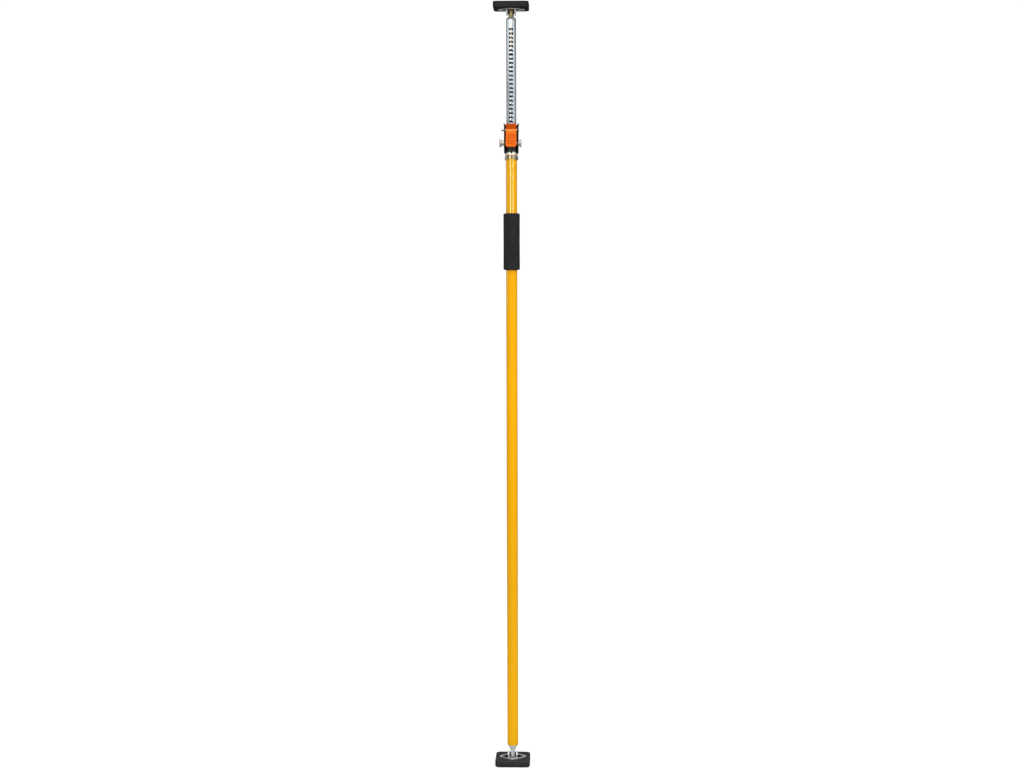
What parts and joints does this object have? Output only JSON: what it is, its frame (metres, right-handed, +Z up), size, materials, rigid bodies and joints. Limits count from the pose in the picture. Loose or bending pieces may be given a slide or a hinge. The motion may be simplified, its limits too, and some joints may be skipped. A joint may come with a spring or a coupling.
{
  "type": "telescopic prop",
  "caption": "Telescopic support prop: a perforated tube slides in a coated tube with a foam grip, a lever-released pawl locks it, and a tilting rubber pad closes each end.",
  "frame": {"origin": "on the floor, under the middle of the foot pad's sole", "axes": "+Z up along the tubes, -Y the front with the slots and the lever, +X to the right seen from the front"},
  "size_m": [0.0786, 0.076, 1.7145],
  "materials": {
    "pad_rubber": "matte",
    "zinc_rim": "satin",
    "zinc_plate": "satin",
    "plain_steel": "satin",
    "black_nylon": "matte",
    "yellow_coat": "gloss",
    "grip_foam": "matte",
    "collar_chrome": "polished",
    "black_coat": "satin",
    "orange_nylon": "satin",
    "nickel_plate": "satin",
    "zinc_tube": "satin",
    "gold_zinc": "satin"
  },
  "bodies": {
    "outer": {"outer_tube": "yellow_coat", "foam_grip": "grip_foam", "tube_collar": "collar_chrome", "collar_ring": "collar_chrome", "lock_housing": "black_coat", "housing_rivets": "plain_steel", "guide_bush": "black_nylon", "foot_plug": "zinc_plate", "foot_plug_pin": "plain_steel", "lever_pin": "plain_steel", "lever_pin_clip": "plain_steel", "lever_spring": "plain_steel", "clamp_washers": "nickel_plate"},
    "foot": {"foot_pad": "pad_rubber", "foot_ring": "zinc_rim", "foot_bracket": "zinc_plate", "foot_bracket_rivets": "zinc_plate", "foot_pivot_pin": "plain_steel", "foot_spacers": "black_nylon"},
    "inner": {"inner_tube": "zinc_tube", "inner_glide": "black_nylon", "top_bush": "zinc_tube", "head_stem": "gold_zinc", "head_stem_pin": "plain_steel", "stem_end_plug": "black_nylon"},
    "head": {"head_pad": "pad_rubber", "head_ring": "zinc_rim", "head_bracket": "zinc_plate", "head_bracket_rivets": "zinc_plate", "head_pivot_pin": "plain_steel", "head_spacers": "black_nylon"},
    "lever": {"release_lever": "orange_nylon", "lever_pawl": "plain_steel"},
    "screw": {"clamp_screw": "nickel_plate"},
    "nut": {"clamp_nut": "nickel_plate"}
  },
  "joints": [
    {"name": "foot_tilt", "type": "hinge", "parent": "outer", "child": "foot", "pos_m": [0, 0, 0.019], "axis": [1, 0, 0], "range_deg": [-45, 45]},
    {"name": "extend", "type": "slide", "parent": "outer", "child": "inner", "axis": [0, 0, 1], "range_m": [-0.21045, 0.88755]},
    {"name": "head_tilt", "type": "hinge", "parent": "inner", "child": "head", "pos_m": [0, 0, 1.6955], "axis": [1, 0, 0], "range_deg": [-45, 45]},
    {"name": "lever_press", "type": "hinge", "parent": "outer", "child": "lever", "pos_m": [0, -0.0145, 1.436], "axis": [1, 0, 0], "range_deg": [0, 16], "stiffness_Nm_per_rad": 0.8, "springref_deg": -9.74, "deforming": ["lever_spring"]},
    {"name": "screw_turn", "type": "hinge", "parent": "outer", "child": "screw", "pos_m": [0, -0.0142, 1.407], "axis": [1, 0, 0], "continuous": true},
    {"name": "nut_turn", "type": "hinge", "parent": "outer", "child": "nut", "pos_m": [0, -0.0142, 1.407], "axis": [1, 0, 0], "continuous": true}
  ]
}
